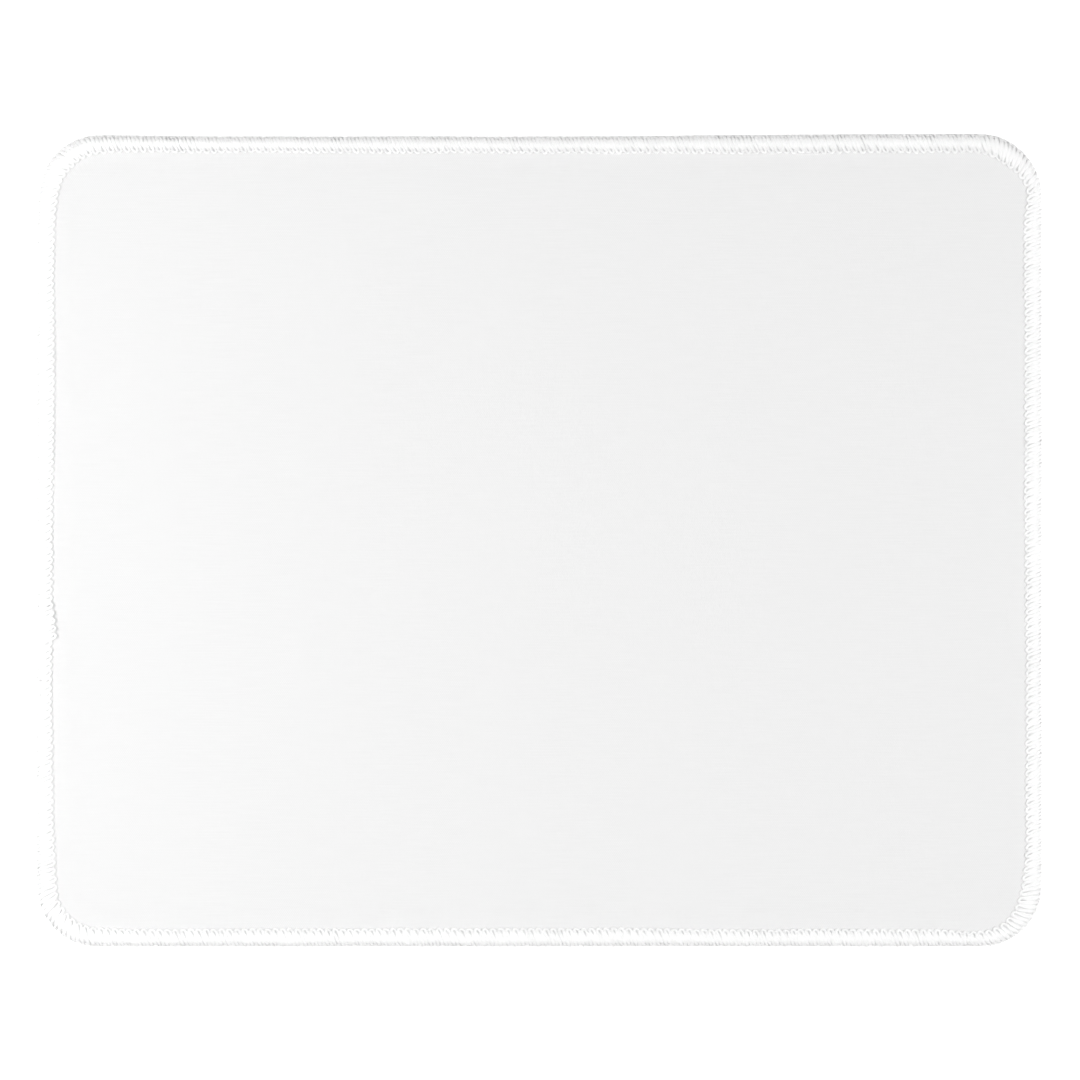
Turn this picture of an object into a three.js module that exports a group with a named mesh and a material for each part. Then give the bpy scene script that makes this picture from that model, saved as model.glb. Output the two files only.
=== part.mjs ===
// A mouse pad with an overlocked edge. Fine polyester cloth is bonded to foam rubber, cut to a rounded
// rectangle, and bound all round by a three-thread overlock seam that squeezes the edge of the panel.
// Lengths are in millimetres. The origin is at the middle of the underside, +X runs along the longer
// side, +Y towards the back and +Z up.

import * as THREE from 'three';

// The pad over its stitching.
const padWidth = 260;
const padDepth = 210;
const cornerRadius = 15.5;

// The three layers of the panel, where it is flat.
const foamThickness = 2.5;
const filmThickness = 0.1;
const clothThickness = 0.4;

// The seam's border, and the margin of the panel that it squeezes. Both faces dip from a little inside the
// border to the cut edge, and round over along the edge.
const borderWidth = 4.5;
const pinchRun = 0.8;
const pinchDip = 0.5;
const roundRun = 0.9;
const roundDip = 0.35;

// The seam. A looper thread spreads flat over the border, with a loop round every needle hole.
const stitchLength = 1.96;
const looperThickness = 0.35;
const ribDepth = 0.1;
const loopDepth = 0.45;
const threadClearance = 0.05;

// The needle thread lies across the loops, a little outside their tips, and dips at every needle hole.
const needleSetback = 0.55;
const needleWidth = 0.35;
const needleThickness = 0.22;
const needleDip = 0.1;

// Every stitch leans along the seam by this share of the distance that it crosses.
const leanShare = 0.47;
// The looper threads are thickest at this share of the border, counted from the rim.
const crownShare = 0.66;

// Facets: of each corner, of the quarter round from the side to the top of the rim, and stitches to one
// facet along the straight sides.
const cornerFacets = 8;
const rimFacets = 3;
const stitchesPerFacet = 4;

const foamTop = foamThickness;
const filmTop = foamTop + filmThickness;
const clothTop = filmTop + clothThickness;

// An inset is a distance in from the outer edge of the stitching.
const cutInset = looperThickness + threadClearance;
const roundInset = cutInset + roundRun;
const flatInset = borderWidth + pinchRun;
const needleInset = borderWidth - needleSetback;
const crownInset = borderWidth * crownShare;

// The seam line goes round counter-clockwise: each leg is a corner and then the straight side after it.
const quarterTurn = Math.PI / 2;
const seamRadius = cornerRadius - borderWidth;
const cornerLength = seamRadius * quarterTurn;
const straightWidth = padWidth - 2 * cornerRadius;
const straightDepth = padDepth - 2 * cornerRadius;
const legs = [
  { side: [1, 1], straight: straightWidth },
  { side: [-1, 1], straight: straightDepth },
  { side: [-1, -1], straight: straightWidth },
  { side: [1, -1], straight: straightDepth },
];
const seamLength = 4 * cornerLength + 2 * (straightWidth + straightDepth);
const stitchCount = Math.round(seamLength / stitchLength);

// The point at a distance along the seam line, moved square to it to an inset, at a height.
function edgePoint(along, inset, height) {
  let rest = THREE.MathUtils.euclideanModulo(along, seamLength);
  let turn = 0;
  let leg = legs[0];
  while (turn < legs.length - 1 && rest > cornerLength + leg.straight) {
    rest -= cornerLength + leg.straight;
    turn += 1;
    leg = legs[turn];
  }
  const angle = turn * quarterTurn + Math.min(rest / seamRadius, quarterTurn);
  const run = Math.max(rest - cornerLength, 0);
  const out = cornerRadius - inset;
  return new THREE.Vector3(
    leg.side[0] * straightWidth / 2 + out * Math.cos(angle) - run * Math.sin(angle),
    leg.side[1] * straightDepth / 2 + out * Math.sin(angle) + run * Math.cos(angle),
    height,
  );
}

// Places along the seam line where flat facets meet: round the corners, and along the sides if asked.
function facetStations(alongSides) {
  const stations = [];
  let start = 0;
  for (const leg of legs) {
    for (let i = 0; i <= cornerFacets; i += 1) {
      stations.push(start + cornerLength * i / cornerFacets);
    }
    const pieces = alongSides ? Math.round(leg.straight / (stitchLength * stitchesPerFacet)) : 1;
    for (let i = 1; i < pieces; i += 1) {
      stations.push(start + cornerLength + leg.straight * i / pieces);
    }
    start += cornerLength + leg.straight;
  }
  return stations;
}

// Two places for every stitch: the middle of its loop, and the notch before the next loop.
function stitchStations() {
  const stations = [];
  for (let i = 0; i < 2 * stitchCount; i += 1) {
    stations.push(seamLength * i / (2 * stitchCount));
  }
  return stations;
}

const panelStations = facetStations(false);
const rollStations = facetStations(true);
const loopStations = stitchStations();

// A ring of points at one inset and height.
function plainRing(stations, inset, height) {
  return { stations, points: stations.map((along) => edgePoint(along, inset, height)) };
}

// How far a stitch has leaned along the seam by the time it reaches an inset.
function leanOf(inset) {
  return leanShare * (borderWidth - inset);
}

// A ring that alternates between the loops and the notches of the stitches.
function stitchedRing(loop, notch) {
  const points = loopStations.map((along, i) => {
    const { inset, height } = i % 2 === 0 ? loop : notch;
    return edgePoint(along + leanOf(inset), inset, height);
  });
  return { stations: loopStations, points };
}

// A ring that runs straight past the stitches, but leans with them.
function rollRing(inset, height) {
  const points = rollStations.map((along) => edgePoint(along + leanOf(inset), inset, height));
  return { stations: rollStations, points };
}

// How far the seam has pulled a face in at an inset. The top face goes down by it and the underside up.
function marginDip(inset) {
  const pinchShare = THREE.MathUtils.clamp((flatInset - inset) / (flatInset - cutInset), 0, 1);
  const roundShare = THREE.MathUtils.clamp((roundInset - inset) / roundRun, 0, 1);
  return pinchDip * pinchShare + roundDip * roundShare;
}

function faceHeight(inset) {
  return clothTop - marginDip(inset);
}

function baseHeight(inset) {
  return marginDip(inset);
}

// Adds the strip of triangles between two rings, which may have different numbers of points.
function addStrip(indices, a, b) {
  const placeOf = (ring, i) => (i < ring.stations.length ? ring.stations[i] : seamLength);
  const indexOf = (ring, i) => ring.first + i % ring.stations.length;
  let i = 0;
  let j = 0;
  while (i < a.stations.length || j < b.stations.length) {
    const stepA = j === b.stations.length
      || (i < a.stations.length && placeOf(a, i + 1) <= placeOf(b, j + 1));
    if (stepA) {
      indices.push(indexOf(a, i), indexOf(a, i + 1), indexOf(b, j));
      i += 1;
    } else {
      indices.push(indexOf(a, i), indexOf(b, j + 1), indexOf(b, j));
      j += 1;
    }
  }
}

// A geometry from its rings: they all become points, and strips join each to the next.
function ringGeometry(rings, closeStrips) {
  const points = [];
  const placed = rings.map((ring) => {
    const first = points.length;
    points.push(...ring.points);
    return { ...ring, first };
  });
  const indices = [];
  for (let k = 0; k + 1 < placed.length; k += 1) {
    addStrip(indices, placed[k], placed[k + 1]);
  }
  closeStrips(indices, placed, points);
  const geometry = new THREE.BufferGeometry().setFromPoints(points);
  geometry.setIndex(indices);
  geometry.computeVertexNormals();
  return geometry;
}

// A thread is a band that runs all round the pad: its last ring joins its first.
function bandGeometry(rings) {
  return ringGeometry(rings, (indices, placed) => {
    addStrip(indices, placed[placed.length - 1], placed[0]);
  });
}

// A layer is closed by a fan of triangles over its first ring, the underside, and its last, the top. The
// top follows the face of the panel, and the bottom follows the face or, with bottomSign 1, the underside.
function layerGeometry(bottom, top, bottomSign) {
  const insets = [flatInset, roundInset, cutInset];
  const below = insets.map((inset) => (
    plainRing(panelStations, inset, bottom + bottomSign * marginDip(inset))
  ));
  const above = insets.map((inset) => plainRing(panelStations, inset, top - marginDip(inset)));
  const rings = [...below, ...above.reverse()];
  return ringGeometry(rings, (indices, placed, points) => {
    const count = panelStations.length;
    const lowest = placed[0].first;
    const highest = placed[placed.length - 1].first;
    const middleBelow = points.push(new THREE.Vector3(0, 0, bottom)) - 1;
    const middleAbove = points.push(new THREE.Vector3(0, 0, top)) - 1;
    for (let i = 0; i < count; i += 1) {
      const next = (i + 1) % count;
      indices.push(middleBelow, lowest + next, lowest + i);
      indices.push(middleAbove, highest + i, highest + next);
    }
  });
}

// The looper threads meet face to face on the rim, halfway up the squeezed edge.
const lockHeight = (faceHeight(cutInset) + baseHeight(cutInset)) / 2;
const innerInset = cutInset - threadClearance;
const notchInset = borderWidth - loopDepth;

// The rings up or down the quarter round of the rim, from where the threads meet to just before the shoulder.
function rimRings(shoulderHeight) {
  const rings = [];
  for (let i = 0; i < rimFacets; i += 1) {
    const turn = quarterTurn * i / rimFacets;
    const height = THREE.MathUtils.lerp(lockHeight, shoulderHeight, Math.sin(turn));
    rings.push(rollRing(roundInset * (1 - Math.cos(turn)), height));
  }
  return rings;
}

// The ribs that the stitches make: as high as a face of the thread at the loops, and nearer the panel by
// the depth of a rib at the notches.
function ribRing(inset, height, towardsPanel) {
  return stitchedRing({ inset, height }, { inset, height: height + towardsPanel * ribDepth });
}

function upperThreadTop(inset) {
  return faceHeight(inset) + threadClearance + looperThickness;
}

function upperLooperRings() {
  const onCloth = (inset) => ({ inset, height: faceHeight(inset) + threadClearance });
  const shoulder = upperThreadTop(roundInset);
  return [
    stitchedRing(onCloth(borderWidth), onCloth(notchInset)),
    plainRing(rollStations, roundInset, faceHeight(roundInset) + threadClearance),
    plainRing(rollStations, innerInset, faceHeight(cutInset) + threadClearance),
    plainRing(rollStations, innerInset, lockHeight),
    ...rimRings(shoulder),
    ribRing(roundInset, shoulder, -1),
    ribRing(crownInset, upperThreadTop(crownInset), -1),
  ];
}

// Underneath, the desk presses the loops level with the foam, so the thread is as thick as the foam leaves room.
function lowerThreadBottom(inset) {
  return Math.max(baseHeight(inset) - threadClearance - looperThickness, 0);
}

function lowerLooperRings() {
  const onFoam = (inset) => ({ inset, height: Math.max(baseHeight(inset) - threadClearance, 0) });
  const shoulder = lowerThreadBottom(roundInset);
  return [
    ribRing(crownInset, lowerThreadBottom(crownInset), 1),
    ribRing(roundInset, shoulder, 1),
    ...rimRings(shoulder).reverse(),
    plainRing(rollStations, innerInset, lockHeight),
    plainRing(rollStations, innerInset, baseHeight(cutInset) - threadClearance),
    plainRing(rollStations, roundInset, baseHeight(roundInset) - threadClearance),
    stitchedRing(onFoam(borderWidth), onFoam(notchInset)),
  ];
}

// The top of the loops between their tips on the cloth and their crown.
function loopTop(inset) {
  const tip = faceHeight(borderWidth) + threadClearance;
  const share = (borderWidth - inset) / (borderWidth - crownInset);
  return THREE.MathUtils.lerp(tip, upperThreadTop(crownInset), share);
}

function needleRings() {
  const inner = needleInset + needleWidth / 2;
  const outer = needleInset - needleWidth / 2;
  const top = loopTop(needleInset) + threadClearance + needleThickness;
  return [
    plainRing(rollStations, inner, loopTop(inner) + threadClearance),
    plainRing(rollStations, outer, loopTop(outer) + threadClearance),
    stitchedRing({ inset: needleInset, height: top - needleDip }, { inset: needleInset, height: top }),
  ];
}

// Finishes: white cloth and thread, a milky film and charcoal foam rubber.
const finishes = {
  cloth: { color: 0xf4f4f4, roughness: 0.9, metalness: 0 },
  film: { color: 0xe2e0da, roughness: 0.5, metalness: 0 },
  foam: { color: 0x1d1e20, roughness: 0.95, metalness: 0 },
  thread: { color: 0xfbfbfb, roughness: 0.7, metalness: 0 },
};

const pad = new THREE.Group();

function addPiece(name, geometry, finish) {
  const mesh = new THREE.Mesh(geometry, new THREE.MeshStandardMaterial(finish));
  mesh.name = name;
  pad.add(mesh);
}

addPiece('foam_base', layerGeometry(0, foamTop, 1), finishes.foam);
addPiece('bond_film', layerGeometry(foamTop, filmTop, -1), finishes.film);
addPiece('face_cloth', layerGeometry(filmTop, clothTop, -1), finishes.cloth);
addPiece('lower_looper_thread', bandGeometry(lowerLooperRings()), finishes.thread);
addPiece('upper_looper_thread', bandGeometry(upperLooperRings()), finishes.thread);
addPiece('needle_thread', bandGeometry(needleRings()), finishes.thread);

export default pad;
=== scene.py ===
import math

import bpy
import numpy as np
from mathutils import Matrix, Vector, geometry


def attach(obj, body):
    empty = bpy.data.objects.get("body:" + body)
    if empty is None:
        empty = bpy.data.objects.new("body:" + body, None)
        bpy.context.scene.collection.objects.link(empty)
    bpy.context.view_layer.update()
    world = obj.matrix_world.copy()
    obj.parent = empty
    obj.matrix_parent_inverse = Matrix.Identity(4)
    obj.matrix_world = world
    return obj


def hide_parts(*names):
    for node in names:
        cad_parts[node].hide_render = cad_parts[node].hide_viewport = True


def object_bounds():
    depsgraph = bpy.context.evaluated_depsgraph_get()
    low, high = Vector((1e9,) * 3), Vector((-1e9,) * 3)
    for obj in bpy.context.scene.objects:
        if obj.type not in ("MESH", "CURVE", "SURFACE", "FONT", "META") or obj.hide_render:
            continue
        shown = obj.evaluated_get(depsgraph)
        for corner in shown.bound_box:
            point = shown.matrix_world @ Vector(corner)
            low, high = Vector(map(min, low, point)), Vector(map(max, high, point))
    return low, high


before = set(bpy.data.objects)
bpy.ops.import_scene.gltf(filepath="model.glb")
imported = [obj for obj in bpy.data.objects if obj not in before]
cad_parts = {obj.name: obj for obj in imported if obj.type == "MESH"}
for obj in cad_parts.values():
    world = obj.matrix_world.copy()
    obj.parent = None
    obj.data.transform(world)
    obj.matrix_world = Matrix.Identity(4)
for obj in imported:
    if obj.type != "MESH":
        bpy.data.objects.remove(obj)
cad_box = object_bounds()


# The foam base.
# One die-cut sheet of charcoal foam rubber. Its underside is moulded with fine wavy ribs that grip
# the desk. The seam squeezes its margin thin all round.

mm = 0.001
quarter_turn = math.pi / 2

pad_width = cad_box[1].x - cad_box[0].x
pad_depth = cad_box[1].y - cad_box[0].y
corner_radius = 15.5 * mm
border_width = 4.5 * mm
foam_top = 2.5 * mm
cloth_top = 3.0 * mm

# The seam line goes round counter-clockwise, a corner and then the straight side after it, four times.
seam_radius = corner_radius - border_width
corner_length = seam_radius * quarter_turn
straight_width = pad_width - 2 * corner_radius
straight_depth = pad_depth - 2 * corner_radius
straights = np.array([straight_width, straight_depth] * 2)
side_x = np.array([1, -1, -1, 1])
side_y = np.array([1, 1, -1, -1])
leg_ends = np.cumsum(corner_length + straights)
leg_starts = leg_ends - corner_length - straights
seam_length = leg_ends[-1]


def ease(share):
    """Goes from 0 to 1 with a soft start and end."""
    share = np.clip(share, 0, 1)
    return share * share * (3 - 2 * share)


def swell(along, place, reach, power=2):
    """Goes from 0 to 1 and back to 0 about a place on the seam line, within a reach to each side."""
    apart = np.mod(along - place + seam_length / 2, seam_length) - seam_length / 2
    return np.exp(-np.abs(apart / reach) ** power)


def cut_wander(along):
    """How far outward the die-cut edge strays. The back edge sags, and its two corners are cut a little
    flat."""
    turn = 2 * math.pi * along / seam_length
    sag = 0.66 * swell(along, 165 * mm, 92 * mm, 4)
    right_corner = 0.38 * swell(along, 8 * mm, 7 * mm)
    left_corner = 0.5 * swell(along, 257 * mm, 8 * mm)
    ripple = 0.03 * np.sin(11 * turn + 1.0) + 0.025 * np.sin(23 * turn)
    return mm * (ripple - sag - right_corner - left_corner)


# Where the seam runs further from the edge than elsewhere, or nearer to it, mostly round the corners: the
# place and the reach along the seam, and how far inward it runs there.
seam_bends = ((0 * mm, 4.5 * mm, -0.8), (11 * mm, 6 * mm, 1.3), (256.5 * mm, 10 * mm, 1.6),
              (446 * mm, 14 * mm, 0.9), (686 * mm, 7 * mm, -0.5), (703 * mm, 8 * mm, 1.3))
# Inward from the edge a bend grows over the first of these, lasts to the second and fades over the third.
bend_rise = 3.6 * mm
bend_level = 5.3 * mm
bend_fall = 4.0 * mm


def seam_bend(along, inset):
    """How far inward a bend of the seam shifts a place: fully along the stitches, and not at the edge."""
    inward = mm * sum(growth * swell(along, place, reach) for place, reach, growth in seam_bends)
    return inward * ease(inset / bend_rise) * (1 - ease((inset - bend_level) / bend_fall))


def edge_frame(along):
    """The outer edge of the stitching at places along the seam line, and the direction out of the pad."""
    along = np.mod(along, seam_length)
    leg = np.searchsorted(leg_ends, along, side="right").clip(0, 3)
    rest = along - leg_starts[leg]
    angle = leg * quarter_turn + np.minimum(rest / seam_radius, quarter_turn)
    run = np.maximum(rest - corner_length, 0)
    out = np.stack([np.cos(angle), np.sin(angle)], -1)
    ahead = np.stack([-np.sin(angle), np.cos(angle)], -1)
    middle = np.stack([side_x[leg] * straight_width / 2, side_y[leg] * straight_depth / 2], -1)
    return middle + out * corner_radius + ahead * run[..., None], out


# Inward of this inset nothing follows the straying of the die-cut edge.
stray_reach = 5.5 * mm


def edge_points(along, inset, height):
    """Points at places along the seam line, insets from the edge, and heights."""
    along, inset, height = np.broadcast_arrays(along, inset, height)
    edge, out = edge_frame(along)
    stray = cut_wander(along) * (1 - ease(inset / stray_reach))
    shifted = stray - inset - seam_bend(along, inset)
    return np.concatenate([edge + out * shifted[..., None], height[..., None]], -1)


def inset_at(x, y):
    """The inset of points of the plain rounded rectangle."""
    over_x = np.abs(x) - straight_width / 2
    over_y = np.abs(y) - straight_depth / 2
    corner = np.hypot(np.maximum(over_x, 0), np.maximum(over_y, 0))
    return corner_radius - corner - np.minimum(np.maximum(over_x, over_y), 0)


# The seam pulls both faces together into a rounded edge, whose middle is at this height.
lock_height = 1.5 * mm
round_inset = 1.42 * mm
round_reach = 1.15 * mm
round_power = 1.7
# Under the border the top slopes down, and the underside has a shallow groove with a gently sloping floor.
squeeze_slope = 0.113
squeeze_start = border_width + 0.4 * mm
squeeze_softness = 0.2 * mm
groove_depth = 0.24 * mm
groove_inset = 5.5 * mm
groove_run = 1.1 * mm
groove_slope = 0.07


def round_share(inset):
    """The height of the rounded edge over its middle, as a share of the height at its shoulder."""
    share = np.clip(round_inset - inset, 0, round_reach) / round_reach
    return (1 - share ** round_power) ** (1 / round_power)


def under_height(inset):
    """The height of the foam's underside, which the threads press into a shallow groove."""
    flat = np.maximum(inset, round_inset)
    groove = groove_depth * ease((groove_inset - flat) / groove_run)
    slope = groove_slope * np.maximum(groove_inset - groove_run - flat, 0)
    return lock_height - (lock_height - groove - slope) * round_share(inset)


def top_height(inset):
    """The height of the cloth's face before the stitches press into it."""
    flat = np.maximum(inset, round_inset)
    over = np.clip((squeeze_start - flat) / squeeze_softness, -40, 40)
    dip = squeeze_slope * squeeze_softness * np.log1p(np.exp(over))
    return lock_height + (cloth_top - dip - lock_height) * round_share(inset)


def net_cells(step_x, step_y, keep_off):
    """The places of a net of rectangles that keeps off the edge, and which of its cells are whole."""
    count_x = int((pad_width / 2 - keep_off) / step_x)
    count_y = int((pad_depth / 2 - keep_off) / step_y)
    x, y = np.meshgrid(np.arange(-count_x, count_x + 1) * step_x,
                       np.arange(-count_y, count_y + 1) * step_y)
    inside = inset_at(x, y) > keep_off
    cells = inside[:-1, :-1] & inside[1:, :-1] & inside[:-1, 1:] & inside[1:, 1:]
    return x, y, cells


sliver_area = 1e-10
merge_distance = 1e-9
# The triangulation keeps only what lies inside the ring.
inside_only = 1


def fill_ring(ring, step_x, step_y, keep_off):
    """Fills a ring of points with a net, which keeps off the edge of the pad, and with a band of triangles
    between the two. Gives the net's points, and the faces, in which the ring's points come first."""
    x, y, cells = net_cells(step_x, step_y, keep_off)
    used = np.zeros(x.shape, bool)
    for down in (0, 1):
        for across in (0, 1):
            rows = slice(down, down + cells.shape[0])
            columns = slice(across, across + cells.shape[1])
            used[rows, columns] |= cells
    number = np.full(x.shape, -1)
    number[used] = np.arange(used.sum()) + len(ring)
    row, column = np.nonzero(cells)
    squares = np.stack([number[row, column], number[row, column + 1],
                        number[row + 1, column + 1], number[row + 1, column]], -1)
    net = np.stack([x[used], y[used]], -1)

    # An edge that only one square uses is on the outline of the net.
    edges = np.concatenate([squares[:, [i, (i + 1) % 4]] for i in range(4)])
    keys, counts = np.unique(np.sort(edges, 1), axis=0, return_counts=True)
    outline = keys[counts == 1]
    rim = np.unique(outline)
    ring_edges = np.stack([np.arange(len(ring)), (np.arange(len(ring)) + 1) % len(ring)], -1)
    place = np.full(len(ring) + len(net), -1)
    place[:len(ring)] = np.arange(len(ring))
    place[rim] = np.arange(len(rim)) + len(ring)
    spots = np.concatenate([ring, net[rim - len(ring)]])
    joins = np.concatenate([ring_edges, place[outline]])
    found = geometry.delaunay_2d_cdt([Vector(spot) for spot in spots.tolist()], joins.tolist(), [],
                                     inside_only, merge_distance)
    back = np.concatenate([np.arange(len(ring)), rim])
    origin = np.array([ids[0] for ids in found[3]])
    corners = origin[np.array(found[2])]
    middle = spots[corners].mean(1)
    cell_x = np.floor((middle[:, 0] - x[0, 0]) / step_x).astype(int)
    cell_y = np.floor((middle[:, 1] - y[0, 0]) / step_y).astype(int)
    in_net = (cell_x >= 0) & (cell_y >= 0) & (cell_x < cells.shape[1]) & (cell_y < cells.shape[0])
    in_net[in_net] = cells[cell_y[in_net], cell_x[in_net]]
    one = spots[corners[:, 1]] - spots[corners[:, 0]]
    two = spots[corners[:, 2]] - spots[corners[:, 0]]
    area = (one[:, 0] * two[:, 1] - one[:, 1] * two[:, 0]) / 2
    corners[area < 0] = corners[area < 0][:, ::-1]
    band = back[corners[~in_net & (np.abs(area) > sliver_area)]]
    return net, squares.tolist() + band.tolist()


def ring_quads(ring_count, count):
    """The faces between rings of the same number of points, from the first ring to the last."""
    here = np.arange(count)
    ahead = (here + 1) % count
    first = np.arange(ring_count - 1)[:, None] * count
    second = first + count
    quads = np.stack([second + here, first + here, first + ahead, second + ahead], -1)
    return quads.reshape(-1, 4).tolist()


def piece_of(name, points, faces, body="root"):
    """A smooth-shaded mesh of points and faces, which rides on the body and stands for its CAD node."""
    mesh = bpy.data.meshes.new(name)
    mesh.from_pydata(np.asarray(points).tolist(), [], faces)
    mesh.update()
    mesh.shade_smooth()
    piece = bpy.data.objects.new("pad_" + name, mesh)
    bpy.context.scene.collection.objects.link(piece)
    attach(piece, body)
    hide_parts(name)
    return piece


def new_material(name, **settings):
    """A material with one Principled shader, whose plain sockets are set by name."""
    material = bpy.data.materials.new(name)
    material.use_nodes = True
    shader = material.node_tree.nodes["Principled BSDF"]
    for socket, value in settings.items():
        shader.inputs[socket.replace("_", " ")].default_value = value
    return material, shader


def add_node(tree, kind, settings=None, **inputs):
    """A node with its inputs set or linked, by name or by index: i0 is the first."""
    node = tree.nodes.new("ShaderNode" + kind)
    for key, value in (settings or {}).items():
        setattr(node, key, value)
    for key, value in inputs.items():
        by_index = key[0] == "i" and key[1:].isdigit()
        socket = node.inputs[int(key[1:]) if by_index else key.replace("_", " ")]
        if isinstance(value, bpy.types.NodeSocket):
            tree.links.new(value, socket)
        else:
            socket.default_value = value
    return node


def math_node(tree, operation, first, second=0.0):
    """The output of a math node."""
    return add_node(tree, "Math", {"operation": operation}, i0=first, i1=second).outputs[0]


def new_group(name, inputs, outputs):
    """An empty node group with named number, colour or vector sockets."""
    group = bpy.data.node_groups.new(name, "ShaderNodeTree")
    for label, kind, value in inputs:
        socket = group.interface.new_socket(label, in_out="INPUT", socket_type="NodeSocket" + kind)
        if value is not None:
            socket.default_value = value
    for label, kind in outputs:
        group.interface.new_socket(label, in_out="OUTPUT", socket_type="NodeSocket" + kind)
    return group, group.nodes.new("NodeGroupInput").outputs, group.nodes.new("NodeGroupOutput").inputs


# Mottle: slow and fine variation of a colour between two tones, with a height to go with it.
mottle, given, made = new_group(
    "mottle",
    [("Place", "Vector", None), ("Patch Size", "Float", 0.02), ("Grain Size", "Float", 0.0005),
     ("Light", "Color", (1, 1, 1, 1)), ("Dark", "Color", (0.5, 0.5, 0.5, 1))],
    [("Color", "Color"), ("Height", "Float")])
patches = add_node(mottle, "TexNoise", Vector=given["Place"], Detail=3.0,
                   Scale=math_node(mottle, "DIVIDE", 1.0, given["Patch Size"]))
grain = add_node(mottle, "TexNoise", Vector=given["Place"], Detail=2.0,
                 Scale=math_node(mottle, "DIVIDE", 1.0, given["Grain Size"]))
blend = math_node(mottle, "ADD", math_node(mottle, "MULTIPLY", patches.outputs[0], 0.6),
                  math_node(mottle, "MULTIPLY", grain.outputs[0], 0.4))
tones = add_node(mottle, "Mix", {"data_type": "RGBA"}, i0=blend, i6=given["Light"], i7=given["Dark"])
mottle.links.new(tones.outputs[2], made["Color"])
mottle.links.new(grain.outputs[0], made["Height"])

panel_columns = 904
foam_along = np.arange(panel_columns) * seam_length / panel_columns
# Rings of points go round the panel: on the underside out to the cut edge, and on top back in.
under_insets = mm * np.array([6.0, 5.5, 5.1, 4.7, 4.3, 3.6, 2.9, 2.1, 1.3, 0.9, 0.6, 0.4])
layer_insets = mm * np.array([0.4, 0.6, 0.9, 1.3, 2.9, 5.3, 6.2])
thinnest_foam = 0.12 * mm


def layer_height(inset, level):
    """The height of a level of the panel where the seam squeezes it."""
    dip = cloth_top - top_height(inset)
    return np.maximum(level - dip, under_height(inset) + thinnest_foam * level / foam_top)


foam_rings = [edge_points(foam_along, inset, under_height(inset)) for inset in under_insets]
foam_rings += [edge_points(foam_along, inset, layer_height(inset, foam_top)) for inset in layer_insets]

# The ribs fade out before the seam, and five points span each of them.
rib_pitch = 2.4 * mm
rib_height = 0.2 * mm
rib_wave = 12 * mm
rib_sway = 1.1 * mm
rib_roundness = 0.7
rib_start = 7.9 * mm
rib_fade = 2 * mm
net_start = 8.1 * mm
net_row = 1.26 * mm
net, under_faces = fill_ring(foam_rings[0][:, :2], rib_pitch / 5, net_row, net_start)
sway = net[:, 0] + rib_sway * np.sin(2 * math.pi * net[:, 1] / rib_wave)
rib = 0.5 + 0.5 * np.cos(2 * math.pi * sway / rib_pitch)
fade = ease((inset_at(net[:, 0], net[:, 1]) - rib_start) / rib_fade)
foam_net = np.column_stack([net, rib_height * (1 - rib ** rib_roundness) * fade])
ring_points = np.concatenate(foam_rings)
first_net = len(ring_points)
foam_faces = []
for face in under_faces:
    foam_faces.append([i if i < panel_columns else i - panel_columns + first_net for i in face[::-1]])
foam_faces += ring_quads(len(foam_rings), panel_columns)
last = first_net - panel_columns
foam_faces.append([last + i for i in range(panel_columns)])
foam = piece_of("foam_base", np.concatenate([ring_points, foam_net]), foam_faces)

foam_rubber, shader = new_material("foam_rubber", Roughness=0.62)
tree = foam_rubber.node_tree
place = add_node(tree, "TexCoord").outputs["Object"]
skin = add_node(tree, "Group", {"node_tree": mottle}, Place=place, Patch_Size=0.03, Grain_Size=0.0004,
                Light=(0.062, 0.064, 0.067, 1), Dark=(0.03, 0.031, 0.033, 1))
pores = add_node(tree, "TexVoronoi", Vector=place, Scale=1 / (0.22 * mm))
depth = math_node(tree, "ADD", math_node(tree, "MULTIPLY", pores.outputs["Distance"], 0.6),
                  math_node(tree, "MULTIPLY", skin.outputs["Height"], 0.6))
pitted = add_node(tree, "Bump", Strength=0.5, Distance=0.05 * mm, Height=depth)
tree.links.new(skin.outputs["Color"], shader.inputs["Base Color"])
tree.links.new(pitted.outputs[0], shader.inputs["Normal"])
foam.data.materials.append(foam_rubber)


# The bond film.
# A sheet of milky hot-melt film that glues the cloth to the foam. It is cut with them and sealed
# between them, so it shows nowhere.

film_top = 2.6 * mm
film_along = foam_along[::2]
film_columns = len(film_along)
# Its underside runs out to the cut, and its top back in.
film_rings = [edge_points(film_along, inset, layer_height(inset, foam_top)) for inset in layer_insets[::-1]]
film_rings += [edge_points(film_along, inset, layer_height(inset, film_top)) for inset in layer_insets]
film_faces = ring_quads(len(film_rings), film_columns)
film_faces.append(list(range(film_columns))[::-1])
last = (len(film_rings) - 1) * film_columns
film_faces.append([last + i for i in range(film_columns)])
film = piece_of("bond_film", np.concatenate(film_rings), film_faces)

milky_film, shader = new_material("milky_film", Roughness=0.5)
tree = milky_film.node_tree
place = add_node(tree, "TexCoord").outputs["Object"]
haze = add_node(tree, "Group", {"node_tree": mottle}, Place=place, Patch_Size=0.015, Grain_Size=0.0008,
                Light=(0.8, 0.79, 0.75, 1), Dark=(0.7, 0.69, 0.65, 1))
ripple = add_node(tree, "Bump", Strength=0.3, Distance=0.03 * mm, Height=haze.outputs["Height"])
tree.links.new(haze.outputs["Color"], shader.inputs["Base Color"])
tree.links.new(ripple.outputs[0], shader.inputs["Normal"])
film.data.materials.append(milky_film)


# The face cloth.
# One sheet of fine, smooth white polyester weave, bonded flat to the foam. The stitches press into it
# along the inner line of the border, and pucker it slightly beside the seam.

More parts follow.
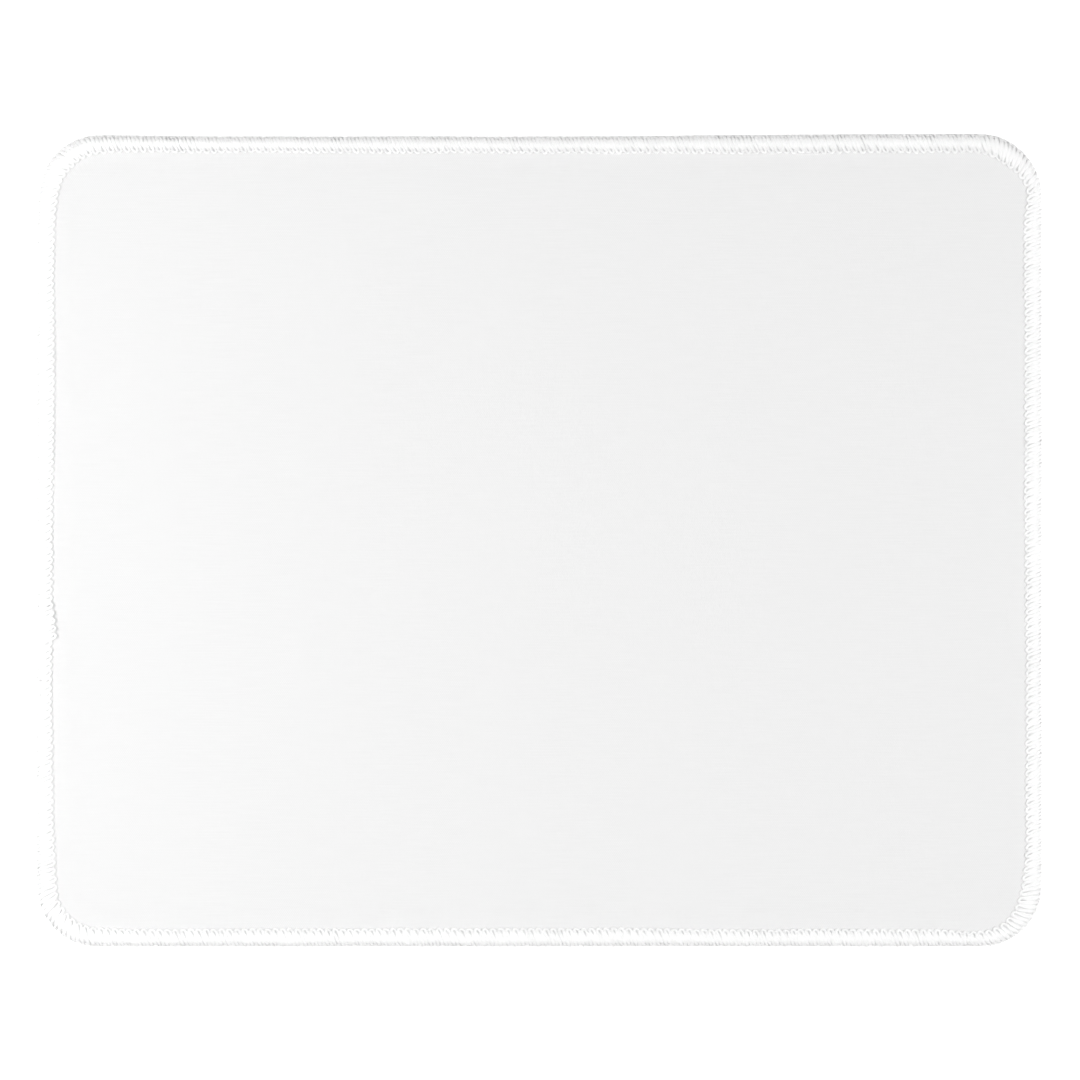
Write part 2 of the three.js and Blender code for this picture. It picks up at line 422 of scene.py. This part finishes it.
stitch_length = 1.96 * mm
stitch_count = round(seam_length / stitch_length)
lap_stitches = 5
total_stitches = stitch_count + lap_stitches
# The seam starts on the left side, a little in front of the middle, and laps over its own start.
lap_place = -14.7 * mm
seam_start = leg_starts[1] + corner_length + straight_depth / 2 - lap_place
# The lap's last stitch lies this much further in than its first.
lap_drift = 1.2 * mm

draw = np.random.default_rng(12)


def smooth_draw(count, reach):
    """Random numbers that change slowly from one to the next, with a mean square of 1."""
    rough = draw.normal(size=count + 6 * reach)
    weights = np.hanning(2 * reach + 1)
    smooth = np.convolve(rough, weights, mode="same")[3 * reach:3 * reach + count]
    return smooth / smooth.std()


# The needle's places along the seam line. Each stitch is a little longer or shorter than the last.
lengths = 1 + 0.03 * smooth_draw(total_stitches, 6) + 0.022 * draw.normal(size=total_stitches)
lengths[stitch_count:] = lengths[:lap_stitches]
lengths /= lengths[:stitch_count].mean()
pitches = lengths * seam_length / stitch_count
needle_along = seam_start + np.cumsum(lengths) * seam_length / stitch_count
lap_share = np.clip((np.arange(total_stitches) - stitch_count + 1) / lap_stitches, 0, 1)

# Where the border is narrower or wider over a short way: its place and reach along the seam, and how much.
border_swells = ((60 * mm, 35 * mm, 0.2), (319 * mm, 30 * mm, 0.4), (353 * mm, 35 * mm, -0.3),
                 (398 * mm, 20 * mm, -0.25), (628 * mm, 16 * mm, -0.3), (720 * mm, 50 * mm, -0.15),
                 (805 * mm, 16 * mm, 0.3), (860 * mm, 40 * mm, 0.2))


def border_at(along):
    """The width of the border, which the sewing didn't keep even. It is widest along the back and front."""
    turn = 2 * math.pi * (along - corner_length - straight_width / 2) / seam_length
    width = border_width + mm * (0.3 + 0.12 * np.cos(turn) + 0.26 * np.cos(2 * turn))
    for place, reach, growth in border_swells:
        width = width + mm * growth * swell(along, place, reach)
    return width + mm * (0.05 * np.sin(19 * turn + 2) + 0.04 * np.sin(33 * turn))


# A phase counts the stitches along the seam. It is a whole number at the tip of each loop.
tip_phases = np.arange(-1, stitch_count + 1)
tip_places = np.concatenate([[seam_start], needle_along[:stitch_count + 1]])


def phase_at(along):
    """How far along the row of stitches a place is."""
    around = seam_start + np.mod(along - seam_start, seam_length)
    return np.interp(around, tip_places, tip_phases)


pucker_height = 0.03 * mm
pucker_start = 0.3 * mm
pucker_fade = 2.2 * mm
pucker_swell = 1 + 0.5 * smooth_draw(stitch_count + 2, 2)
# The crease runs along the tips of the loops, and it is deeper along the left side.
crease_depth = 0.04 * mm
deep_crease = 0.06 * mm
crease_width = 0.2 * mm
crease_offset = 0.1 * mm
scallop_depth = 0.3 * mm
# A needle hole lies this far outward of the border's inner line, and this share of a stitch beyond a tip.
hole_setback = 1.1 * mm
hole_lean = 0.15
dimple_depth = 0.04 * mm
dimple_length = 0.3 * mm
dimple_width = 0.4 * mm


def hole_share(along, inset, reach_along, reach_across):
    """Goes from 0 to 1 at each needle hole."""
    slant = phase_at(along) - hole_lean
    beside = (slant - np.round(slant)) * stitch_length / reach_along
    return np.exp(-beside ** 2 - ((inset - border_at(along) + hole_setback) / reach_across) ** 2)


def face_height(along, inset):
    """The height of the cloth's face: the crease along the loops, the puckers beside them, and the dimples
    where the needle thread goes down."""
    phase = phase_at(along)
    wave = 0.5 - 0.5 * np.cos(2 * math.pi * phase)
    edge = border_at(along) - scallop_depth * wave
    depth = crease_depth + deep_crease * swell(along, 353 * mm, 85 * mm, 4)
    crease = depth * np.exp(-((inset - edge + crease_offset) / crease_width) ** 2)
    fullness = np.interp(phase, tip_phases, pucker_swell)
    beyond = np.maximum(inset - edge, 0)
    pucker = pucker_height * fullness * (wave - 0.5) * np.exp(-beyond / pucker_fade)
    pucker = pucker * ease(beyond / pucker_start)
    dimple = dimple_depth * hole_share(along, inset, dimple_length, dimple_width)
    return top_height(inset) - crease + pucker - dimple


# Six columns of points to a stitch, three of them close together at the needle hole.
column_shares = hole_lean + np.array([-0.12, 0, 0.12, 0.3, 0.5, 0.7])
fine_phase = (np.arange(stitch_count)[:, None] + column_shares).ravel() - 1
fine_along = np.interp(fine_phase, tip_phases, tip_places)
fine_columns = len(fine_along)
coarse_columns = fine_columns // 3
coarse_along = fine_along[::3]
# The outer and inner rows keep to the cut edge, and those between them to the inner line of the border.
outer_rows = mm * np.array([0.4, 0.5, 0.7, 1.0, 1.42, 1.9, 2.4])
border_rows = mm * np.array([-1.5, -1.3, -1.1, -0.9, -0.65, -0.35, -0.1, 0.1, 0.3, 0.6, 1.1])
inner_rows = mm * np.array([7.0, 8.5])
fine_insets = [np.full(fine_columns, row) for row in outer_rows]
fine_insets += [border_at(fine_along) + row for row in border_rows]
fine_insets += [np.full(fine_columns, row) for row in inner_rows]
low_rings = [edge_points(fine_along, inset, layer_height(inset, film_top)) for inset in layer_insets[::-1]]
top_rings = [edge_points(fine_along, inset, face_height(fine_along, inset)) for inset in fine_insets]
cloth_rings = low_rings + top_rings
cloth_faces = [list(range(fine_columns))[::-1]]
cloth_faces += ring_quads(len(cloth_rings), fine_columns)
# One more ring has a third of the columns, and it is filled with a coarse net.
inner_inset = 10.0 * mm
inner_ring = edge_points(coarse_along, inner_inset, face_height(coarse_along, inner_inset))
outer = (len(cloth_rings) - 1) * fine_columns
inner = outer + fine_columns
for i in range(coarse_columns):
    ahead = (i + 1) % coarse_columns
    first = outer + 3 * i
    second = outer + 3 * ahead
    cloth_faces.append([inner + i, first, first + 1, first + 2, second, inner + ahead])
face_step = 2.5 * mm
face_start = 11.5 * mm
net, middle_faces = fill_ring(inner_ring[:, :2], face_step, face_step, face_start)
# The face isn't quite flat. It rolls slowly, and not beside the seam.
roll_height = 0.005 * mm
roll_fade = 12 * mm
ease_in = ease((inset_at(net[:, 0], net[:, 1]) - inner_inset) / roll_fade)
roll = np.sin(net[:, 0] / 0.013 + 1) * np.cos(net[:, 1] / 0.017) + np.sin((net[:, 0] + net[:, 1]) / 0.029)
middle_net = np.column_stack([net, cloth_top + roll_height * roll * ease_in])
first_net = inner + coarse_columns
for face in middle_faces:
    cloth_faces.append([i + inner if i < coarse_columns else i - coarse_columns + first_net for i in face])
cloth_points = np.concatenate(cloth_rings + [inner_ring, middle_net])
cloth = piece_of("face_cloth", cloth_points, cloth_faces)

# How much of a needle hole is at each point. The cloth's colour is painted greyer there, as painted shade
# in the hole.
shade_length = 0.2 * mm
shade_width = 0.24 * mm
hole_shade_shares = np.zeros(len(cloth_points))
for k, inset in enumerate(fine_insets):
    first = (len(low_rings) + k) * fine_columns
    hole_shade_shares[first:first + fine_columns] = hole_share(fine_along, inset, shade_length, shade_width)
layer = cloth.data.attributes.new("needle_hole_shade", "FLOAT", "POINT")
layer.data.foreach_set("value", hole_shade_shares.astype(np.float32))

# Weave: two sets of yarns that go over and under each other, some of them a little thicker than the next.
weave, given, made = new_group(
    "plain_weave",
    [("Place", "Vector", None), ("Warp Pitch", "Float", 0.00026), ("Weft Pitch", "Float", 0.00039)],
    [("Height", "Float"), ("Gaps", "Float"), ("Crossings", "Float"), ("Slubs", "Float")])
split = add_node(weave, "SeparateXYZ", Vector=given["Place"])
warp_count = math_node(weave, "DIVIDE", split.outputs[0], given["Warp Pitch"])
weft_count = math_node(weave, "DIVIDE", split.outputs[1], given["Weft Pitch"])
wave_x = math_node(weave, "SINE", math_node(weave, "MULTIPLY", warp_count, math.pi))
wave_y = math_node(weave, "SINE", math_node(weave, "MULTIPLY", weft_count, math.pi))
crossing = math_node(weave, "MULTIPLY", wave_x, wave_y)
bulge = math_node(weave, "MAXIMUM", math_node(weave, "ABSOLUTE", wave_x),
                  math_node(weave, "ABSOLUTE", wave_y))
raised = math_node(weave, "MULTIPLY", crossing, 0.35)
weave.links.new(math_node(weave, "ADD", raised, bulge), made["Height"])
weave.links.new(math_node(weave, "SUBTRACT", 1.0, bulge), made["Gaps"])
halved = math_node(weave, "MULTIPLY", crossing, 0.5)
weave.links.new(math_node(weave, "ADD", halved, 0.5), made["Crossings"])
slub_spots = add_node(weave, "CombineXYZ", X=math_node(weave, "MULTIPLY", warp_count, 0.03), Y=weft_count)
slubs = add_node(weave, "TexNoise", Vector=slub_spots.outputs[0], Scale=1.0, Detail=1.0)
weave.links.new(slubs.outputs[0], made["Slubs"])

white_cloth, shader = new_material("white_cloth", Roughness=0.82, Sheen_Weight=0.12, Sheen_Roughness=0.4)
tree = white_cloth.node_tree
place = add_node(tree, "TexCoord").outputs["Object"]
dye = add_node(tree, "Group", {"node_tree": mottle}, Place=place, Patch_Size=0.05, Grain_Size=0.0012,
               Light=(0.876, 0.876, 0.876, 1), Dark=(0.855, 0.855, 0.855, 1))
yarns = add_node(tree, "Group", {"node_tree": weave}, Place=place,
                 Warp_Pitch=0.26 * mm, Weft_Pitch=0.39 * mm)
# Painted shade: the cloth's colour goes darker in the gaps between the yarns and by their crossings,
# following the weave's relief. The slubs add the yarns' own tone.
slubs_and_painted_weave_shade = math_node(tree, "ADD", math_node(tree, "MULTIPLY", yarns.outputs["Gaps"], 0.1),
                   math_node(tree, "MULTIPLY", yarns.outputs["Crossings"], 0.14))
slubs_and_painted_weave_shade = math_node(tree, "ADD", slubs_and_painted_weave_shade, math_node(tree, "MULTIPLY", yarns.outputs["Slubs"], 0.1))
shade = add_node(tree, "Mix", {"data_type": "RGBA", "blend_type": "MULTIPLY"},
                 i0=slubs_and_painted_weave_shade, i6=dye.outputs["Color"], i7=(0.6, 0.6, 0.6, 1))
height = math_node(tree, "ADD", yarns.outputs["Height"],
                   math_node(tree, "MULTIPLY", dye.outputs["Height"], 0.8))
woven = add_node(tree, "Bump", Strength=0.35, Distance=0.03 * mm, Height=height)
# Painted shade: the cloth's colour goes grey at the needle holes.
painted_hole_shade = add_node(tree, "Attribute", {"attribute_name": "needle_hole_shade"}).outputs["Fac"]
hole_shaded = add_node(tree, "Mix", {"data_type": "RGBA"}, i0=painted_hole_shade, i6=shade.outputs[2], i7=(0.8, 0.8, 0.8, 1))
tree.links.new(hole_shaded.outputs[2], shader.inputs["Base Color"])
tree.links.new(woven.outputs[0], shader.inputs["Normal"])
cloth.data.materials.append(white_cloth)


# The lower looper thread.
# A bulky white thread that lies under the border. It goes round each needle hole and back to the rim,
# where it links with the upper thread. The desk presses it flat into the foam.

# The threads keep this far off the faces that they lie on.
thread_gap = 0.012 * mm
lean_slope = 0.3
lean_swell = 0.12
lean_reach = 5 * mm


def lean_at(crossed):
    """How far a stitch has leaned along the seam after crossing a distance from its tip to the rim. It
    leans most half-way."""
    bow = lean_reach / math.pi * (1 - np.cos(math.pi * crossed / lean_reach))
    return lean_slope * crossed + lean_swell * bow


# The way that a thread takes over the edge of the panel, from the cloth over the rim to the foam. Each
# place has an inset, a height and a direction out of the panel, by its distance from the middle of the rim.
way_insets = np.linspace(10 * mm, round_inset, 160)
turn = np.linspace(quarter_turn, -quarter_turn, 121)[1:-1]
shoulder = top_height(round_inset) - lock_height
heel = lock_height - under_height(round_inset)
rim_inset = round_inset - round_reach * np.cos(turn) ** (2 / round_power)
rim_rise = np.sign(turn) * np.abs(np.sin(turn)) ** (2 / round_power)
rim_height = lock_height + np.where(turn > 0, shoulder, heel) * rim_rise
way_inset = np.concatenate([way_insets, rim_inset, way_insets[::-1]])
way_height = np.concatenate([top_height(way_insets), rim_height, under_height(way_insets[::-1])])
step_out = -np.gradient(way_inset)
step_up = np.gradient(way_height)
step = np.hypot(step_out, step_up)
way_length = np.concatenate([[0], np.cumsum(np.hypot(np.diff(way_inset), np.diff(way_height)))])
rim_middle = way_length[len(way_insets) + len(turn) // 2]
way_place = rim_middle - way_length
way_out = -step_up / step
way_up = step_out / step


def on_way(place, values):
    """A value along the way over the edge, at distances above the middle of the rim."""
    return np.interp(-place, -way_place, values)


def above_rim(inset):
    """The distance above the middle of the rim of a place on the cloth at an inset."""
    return np.interp(inset, way_insets[::-1], way_place[:len(way_insets)][::-1])


def below_rim(inset):
    """The same under the foam, where it counts down from the rim."""
    return np.interp(inset, way_insets[::-1], way_place[-len(way_insets):])


def smooth_run(knots, samples):
    """Points of a smooth curve through knots, at numbers that count the knots."""
    number = np.floor(samples).astype(int).clip(1, len(knots) - 3)
    share = (samples - number)[:, None]
    before, here, ahead, beyond = (knots[number + i] for i in (-1, 0, 1, 2))
    bend = 2 * before - 5 * here + 4 * ahead - beyond
    twist = 3 * (here - ahead) + beyond - before
    return here + share * (ahead - before + share * (bend + share * twist)) / 2


# Where the seam laps over its own start, the threads lie on those below.
lap_thickness = 0.24 * mm
lap_lift = np.where(np.arange(total_stitches) >= stitch_count, lap_thickness, 0.0)
loop_half_width = 0.36 * mm
leg_half_width = 0.58 * mm
turn_half_width = 0.37 * mm
loop_half_thickness = 0.165 * mm
leg_half_thickness = 0.15 * mm
# Near the needle holes the needle thread pins the legs down.
pinned_half_thickness = 0.095 * mm
pinned_reach = 1.8 * mm
loop_radius = 0.59 * mm
# A loop's ends lie a little closer to the rim than a round loop's would.
loop_end = 0.12 * mm
hook_depth = 0.28 * mm
link_offset = 0.15 * mm
# Places along one stitch, counted in knots: close together round the loop and the hook, and far apart on
# the legs.
stitch_samples = np.concatenate([[0, 0.5, 1.1], np.arange(2, 7), [7, 7.8, 8.6, 9.4, 10.2],
                                 np.arange(11, 17), [16.9, 17.5]])


def looper_knots(side):
    """Knots of a looper thread, stitch after stitch: from the hook at the rim up to the loop round the
    needle hole, and back. Each has a place along the seam, a distance inward from the rim's middle, a half
    width, a half thickness and a lift off the panel. Side is 1 for the thread on the cloth and -1 for the
    one under the foam."""
    jitter = draw.normal(size=(5, total_stitches))
    border = border_at(needle_along) + lap_drift * lap_share + 0.045 * mm * jitter[0]
    tip_inset = border - loop_half_width
    tip = above_rim(tip_inset) if side > 0 else -below_rim(tip_inset)
    radius = loop_radius * (1 + 0.07 * jitter[1])
    first_leg = leg_half_width * (1 + 0.06 * jitter[2])
    second_leg = leg_half_width * (1 + 0.06 * jitter[3])
    rows = []

    def knot(across, crossed, half_width, half_thickness, lift):
        rows.append(np.stack(np.broadcast_arrays(across, crossed, half_width, half_thickness, lift), -1))

    def leg_knots(climb, hand, full_width):
        for apart, crossed, share in climb:
            link = side * link_offset * (crossed > tip)
            half_thickness = np.where(crossed < pinned_reach, pinned_half_thickness, leg_half_thickness)
            knot(hand * (pitches / 4 + apart), crossed, full_width * share, half_thickness,
                 lap_lift + hand * link)

    # A leg's knots from the rim to the loop: how far apart from its middle line, the distance crossed from
    # the tip, and the share of its full width. Near the rim the widths vary, and the lower thread is wider.
    rim_share = 1 + 0.22 * jitter[4] if side > 0 else 1.4 + 0.1 * jitter[4]
    turn_share = turn_half_width / leg_half_width * (1 if side > 0 else 1.25)
    climb = ((-0.15 * mm, tip + 0.02 * mm, turn_share),
             (0, tip - 0.8 * mm, 0.62 * rim_share), (0, tip - 1.7 * mm, 0.93), (0, 2.4 * mm, 1.0),
             (0.05 * mm, 1.6 * mm, 0.88), (0.11 * mm, 1.05 * mm, 0.715))
    knot(-pitches / 2, tip + hook_depth, turn_half_width, leg_half_thickness, lap_lift)
    leg_knots(climb, -1, first_leg)
    for angle in (-85, -45, 0, 45, 85):
        swing = math.radians(angle)
        end = loop_end if abs(angle) == 85 else 0
        knot(radius * math.sin(swing), radius * (1 - math.cos(swing)) + end, loop_half_width,
             loop_half_thickness, lap_lift)
    leg_knots(climb[::-1], 1, second_leg)
    knots = np.stack(rows, 1)
    crossed = knots[..., 1]
    knots[..., 0] += needle_along[:, None] + lean_at(crossed)
    knots[..., 1] = side * (tip[:, None] - crossed)
    knots[..., 0] += 0.03 * mm * draw.normal(size=crossed.shape)
    return knots


lobes = 3
lobe_twist = 1.3 * mm
# A thread is round where its half width is the first of these, and flat on top where it is the second.
round_half_width = 0.28 * mm
flat_half_width = 0.5 * mm
desk_height = 0.0


def swept_thread(name, centres, normals, half_width, half_thickness, section_points):
    """A closed tube along a row of points. It is wide along the panel and thin across it, with lobes where
    the filaments bunch. Two attributes say how far along and how far round the thread each point is."""
    ahead = np.gradient(centres, axis=0)
    ahead /= np.linalg.norm(ahead, axis=1)[:, None]
    across = np.cross(ahead, normals)
    across /= np.linalg.norm(across, axis=1)[:, None]
    up = np.cross(across, ahead)
    length = np.concatenate([[0], np.cumsum(np.linalg.norm(np.diff(centres, axis=0), axis=1))])
    around = -quarter_turn + 2 * math.pi * np.arange(section_points) / section_points
    twist = length[:, None] / lobe_twist
    bulk = 1 + 0.05 * np.cos(lobes * around + twist) + 0.03 * np.cos(2 * around - 1.7 * twist)
    bulk = bulk[..., None]
    wide = (half_width[:, None] * np.cos(around))[..., None] * across[:, None]
    boxy = np.interp(half_width, [round_half_width, flat_half_width], [1.0, 0.5])[:, None]
    rise = np.sign(np.sin(around)) * np.abs(np.sin(around)) ** boxy
    thick = (half_thickness[:, None] * rise)[..., None]
    points = centres[:, None] + bulk * (wide + thick * up[:, None])
    points[..., 2] = np.maximum(points[..., 2], desk_height)
    count = len(centres)
    row = np.arange(count - 1)[:, None] * section_points
    here = np.arange(section_points)
    next_one = (here + 1) % section_points
    quads = np.stack([row + here, row + section_points + here, row + section_points + next_one,
                      row + next_one], -1).reshape(-1, 4).tolist()
    quads.append([int(i) for i in here])
    quads.append([int(i) + (count - 1) * section_points for i in here][::-1])
    piece = piece_of(name, points.reshape(-1, 3), quads)
    lengths_along = np.repeat(length, section_points)
    lengths_round = np.tile(around, count) * np.repeat(half_width, section_points)
    for label, values in (("thread_length", lengths_along), ("thread_around", lengths_round)):
        layer = piece.data.attributes.new(label, "FLOAT", "POINT")
        layer.data.foreach_set("value", values.astype(np.float32))
    return piece


corner_ease = 3 * mm


def corner_share(along):
    """Goes from 0 to 1 and back to 0 round each corner."""
    along = np.mod(along, seam_length)
    rest = along - leg_starts[np.searchsorted(leg_ends, along, side="right").clip(0, 3)]
    return ease(np.minimum(rest, corner_length - rest) / corner_ease)


# Between the foam and the desk the lower thread has little room, and it is pressed no thinner than this.
pressed_half_thickness = 0.04 * mm
corner_spread = 0.9
looper_section_points = 10


def looper_thread(name, side):
    """A looper thread: the one on the cloth for side 1, and the one under the foam for side -1."""
    knots = looper_knots(side)
    per_stitch = knots.shape[1]
    flat = knots.reshape(-1, knots.shape[2])
    samples = (np.arange(total_stitches)[:, None] * per_stitch + stitch_samples).ravel()
    samples = samples[(samples >= 1) & (samples <= len(flat) - 2)]
    along, place, half_width, half_thickness, lift = smooth_run(flat, samples).T
    inset = on_way(place, way_inset)
    height = on_way(place, way_height)
    if side < 0:
        room = np.where(inset > round_inset, (height - thread_gap) / 2, 1.0)
        half_thickness = np.minimum(half_thickness, np.maximum(room, pressed_half_thickness))
    rise = thread_gap + half_thickness + lift
    _, out = edge_frame(along)
    # Round the corners the stitches fan out, and the thread spreads to fill them.
    fan = (border_width - np.minimum(inset, border_width)) / seam_radius
    spread = 1 + corner_spread * corner_share(along) * fan
    slant_out = on_way(place, way_out)
    slant_up = on_way(place, way_up)
    normals = np.concatenate([out * slant_out[:, None], slant_up[:, None]], -1)
    centres = edge_points(along, inset, height) + normals * rise[:, None]
    bulky = half_width * spread * (1 + 0.05 * smooth_draw(len(samples), 14))
    return swept_thread(name, centres, normals, bulky, half_thickness, looper_section_points)


lower_thread = looper_thread("lower_looper_thread", -1)

# Filaments: fine streaks along a thread, with a few lying apart from the rest. Their Shade is painted
# shade, low in the streaks that sink between filaments.
filaments, given, made = new_group(
    "filaments", [("Length", "Float", 0.0), ("Around", "Float", 0.0), ("Filament Size", "Float", 0.00005)],
    [("Height", "Float"), ("Shade", "Float")])
across = math_node(filaments, "DIVIDE", given["Around"], given["Filament Size"])
streak_length = math_node(filaments, "MULTIPLY", given["Filament Size"], 22.0)
onward = math_node(filaments, "DIVIDE", given["Length"], streak_length)
spot = add_node(filaments, "CombineXYZ", X=across, Y=onward)
fine = add_node(filaments, "TexNoise", Vector=spot.outputs[0], Scale=1.0, Detail=2.0)
coarse = add_node(filaments, "TexNoise", Vector=spot.outputs[0], Scale=0.3, Detail=1.0)
both = math_node(filaments, "ADD", math_node(filaments, "MULTIPLY", fine.outputs[0], 0.6),
                 math_node(filaments, "MULTIPLY", coarse.outputs[0], 0.4))
filaments.links.new(both, made["Height"])
shade = add_node(filaments, "MapRange", i0=both, i1=0.36, i2=0.5)
filaments.links.new(shade.outputs[0], made["Shade"])

white_thread, shader = new_material("white_thread", Roughness=0.6, Sheen_Weight=0.15, Sheen_Roughness=0.4)
tree = white_thread.node_tree
length = add_node(tree, "Attribute", {"attribute_name": "thread_length"}).outputs["Fac"]
around = add_node(tree, "Attribute", {"attribute_name": "thread_around"}).outputs["Fac"]
streaks = add_node(tree, "Group", {"node_tree": filaments}, Length=length, Around=around,
                   Filament_Size=0.06 * mm)
# Painted shade: the thread's colour is darker in the low streaks between the filaments.
painted_filament_shade = add_node(tree, "Mix", {"data_type": "RGBA"}, i0=streaks.outputs["Shade"],
                i6=(0.85, 0.85, 0.85, 1), i7=(0.965, 0.965, 0.965, 1))
stranded = add_node(tree, "Bump", Strength=0.7, Distance=0.06 * mm, Height=streaks.outputs["Height"])
tree.links.new(painted_filament_shade.outputs[2], shader.inputs["Base Color"])
tree.links.new(stranded.outputs[0], shader.inputs["Normal"])
lower_thread.data.materials.append(white_thread)


# The upper looper thread.
# The same thread over the top of the border. Its loops make the scalloped inner line, its legs lean
# along the seam, and at the rim it links with the lower thread.

upper_thread = looper_thread("upper_looper_thread", 1)
upper_thread.data.materials.append(white_thread)


# The needle thread.
# A thinner thread sewn through the panel. Over the border it shows as a row of short stitches that
# hold the loops down, and under the foam as a small loop at each hole.

needle_half_width = 0.12 * mm
needle_half_thickness = 0.08 * mm
needle_setback = 0.84 * mm
needle_section_points = 6
# The stitch rises a little over each leg, and it dives this deep between two of them.
needle_rise = 0.04 * mm
needle_dive = 0.42 * mm
hole_top = 1.9 * mm
hole_foot = 0.5 * mm


def needle_run():
    """The needle thread's points: over two legs, down a hole, a small loop below, and up again."""
    hole_inset = border_at(needle_along) + lap_drift * lap_share - needle_setback
    over_leg = top_height(hole_inset) + 2 * pinned_half_thickness + needle_half_thickness + lap_lift
    lean = lean_at(needle_setback - loop_half_width)
    rows = []

    def knot(across, inset, height):
        rows.append(np.stack(np.broadcast_arrays(needle_along + lean + across, inset, height), -1))

    knot(-0.50 * pitches, hole_inset, over_leg - 0.02 * mm)
    knot(-0.27 * pitches, hole_inset, over_leg + needle_rise)
    knot(-0.10 * pitches, hole_inset, over_leg - needle_dive)
    knot(-0.04 * pitches, hole_inset, hole_top)
    knot(-0.06 * pitches, hole_inset, hole_foot)
    knot(-0.10 * pitches, hole_inset - 0.1 * mm, needle_half_thickness)
    knot(0.00 * pitches, hole_inset - 0.25 * mm, needle_half_thickness)
    knot(0.10 * pitches, hole_inset - 0.1 * mm, needle_half_thickness)
    knot(0.06 * pitches, hole_inset, hole_foot)
    knot(0.04 * pitches, hole_inset, hole_top)
    knot(0.10 * pitches, hole_inset, over_leg - needle_dive)
    knot(0.27 * pitches, hole_inset, over_leg + needle_rise)
    return np.stack(rows, 1).reshape(-1, 3)


knots = needle_run()
samples = np.arange(1, len(knots) - 2, 0.5)
along, inset, height = smooth_run(knots, samples).T
centres = edge_points(along, inset, height)
_, out = edge_frame(along)
sideways = np.concatenate([out, np.zeros((len(out), 1))], -1)
onward = np.gradient(centres, axis=0)
onward /= np.linalg.norm(onward, axis=1)[:, None]
over = np.cross(sideways, onward)
over /= np.linalg.norm(over, axis=1)[:, None]
needle_thread = swept_thread("needle_thread", centres, over, np.full(len(samples), needle_half_width),
                             np.full(len(samples), needle_half_thickness), needle_section_points)
needle_thread.data.materials.append(white_thread)


# The studio.
# A pale floor and backdrop, soft lamps above, on the left, in front, on the right and below, and a
# camera straight above.

floor_mesh = bpy.data.meshes.new("floor")
reach = 3.0
floor_corners = [(-reach, -reach, 0), (reach, -reach, 0), (reach, reach, 0), (-reach, reach, 0)]
floor_mesh.from_pydata(floor_corners, [], [(0, 1, 2, 3)])
floor = bpy.data.objects.new("floor", floor_mesh)
bpy.context.scene.collection.objects.link(floor)
floor.location.z = -0.02 * mm


def seen_rays(tree):
    """A light path node, and a value that is 1 for rays from the camera, off gloss or through glass."""
    path = add_node(tree, "LightPath")
    indirect = math_node(tree, "MAXIMUM", path.outputs["Is Glossy Ray"],
                         path.outputs["Is Transmission Ray"])
    return path, math_node(tree, "MAXIMUM", path.outputs["Is Camera Ray"], indirect)


pale_floor, shader = new_material("pale_floor", Base_Color=(0.94, 0.94, 0.94, 1), Roughness=0.9)
tree = pale_floor.node_tree
path, seen = seen_rays(tree)
# Near the pad the floor glows little and keeps the shadow. Far out, where the lamps don't reach, it glows
# white.
near_distance = 0.3
far_distance = 1.3
near_glow = 0.3
place = add_node(tree, "TexCoord").outputs["Object"]
distance = add_node(tree, "VectorMath", {"operation": "LENGTH"}, i0=place)
glow = add_node(tree, "MapRange", i0=distance.outputs["Value"], i1=near_distance, i2=far_distance,
                i3=near_glow, i4=1.0)
glow = math_node(tree, "MULTIPLY", seen, glow.outputs[0])
shader.inputs["Emission Color"].default_value = (1, 1, 1, 1)
tree.links.new(glow, shader.inputs["Emission Strength"])
# From below the floor is clear, and it lets the lamp under it light the underside of the pad.
back_side = add_node(tree, "NewGeometry").outputs["Backfacing"]
clear = add_node(tree, "BsdfTransparent")
unseen = math_node(tree, "MAXIMUM", back_side, path.outputs["Is Shadow Ray"])
sides = add_node(tree, "MixShader", i0=unseen)
tree.links.new(shader.outputs[0], sides.inputs[1])
tree.links.new(clear.outputs[0], sides.inputs[2])
tree.links.new(sides.outputs[0], tree.nodes["Material Output"].inputs["Surface"])
floor_mesh.materials.append(pale_floor)


def soft_lamp(name, place, size, power):
    """A square softbox that faces the pad, out of the picture."""
    lamp = bpy.data.lights.new(name, "AREA")
    lamp.shape = "SQUARE"
    lamp.size = size
    lamp.energy = power
    softbox = bpy.data.objects.new(name, lamp)
    softbox.location = place
    softbox.rotation_euler = (-Vector(place)).to_track_quat("-Z", "Y").to_euler()
    softbox.visible_camera = False
    bpy.context.scene.collection.objects.link(softbox)


soft_lamp("top_lamp", (-0.05, -0.15, 1.8), 1.1, 9.3)
soft_lamp("left_lamp", (-0.6, 0.0, 0.38), 0.3, 3.0)
soft_lamp("front_lamp", (0.0, -1.3, 0.9), 0.7, 2.2)
soft_lamp("right_lamp", (1.0, 0.0, 0.88), 0.7, 10.2)
soft_lamp("under_lamp", (0.75, -0.1, -0.6), 0.4, 4.2)

world = bpy.data.worlds.new("studio")
bpy.context.scene.world = world
world.use_nodes = True
tree = world.node_tree
path, seen = seen_rays(tree)
# The backdrop is white to the camera, and it lights the pad only this much.
fill = 0.115
strength = math_node(tree, "ADD", math_node(tree, "MULTIPLY", seen, 1 - fill), fill)
background = tree.nodes["Background"]
background.inputs["Color"].default_value = (1, 1, 1, 1)
tree.links.new(strength, background.inputs["Strength"])

# The picture is this wide at the height of the rim's middle.
camera_height = 1.0
frame_width = 279.6 * mm
lens = bpy.data.cameras.new("camera")
lens.sensor_width = 36
lens.lens = lens.sensor_width * (camera_height - lock_height) / frame_width
lens.clip_start = 0.01
camera = bpy.data.objects.new("camera", lens)
camera.location = (0.15 * mm, 0.05 * mm, camera_height)
bpy.context.scene.collection.objects.link(camera)
bpy.context.scene.camera = camera
bpy.context.scene.view_settings.view_transform = "Standard"
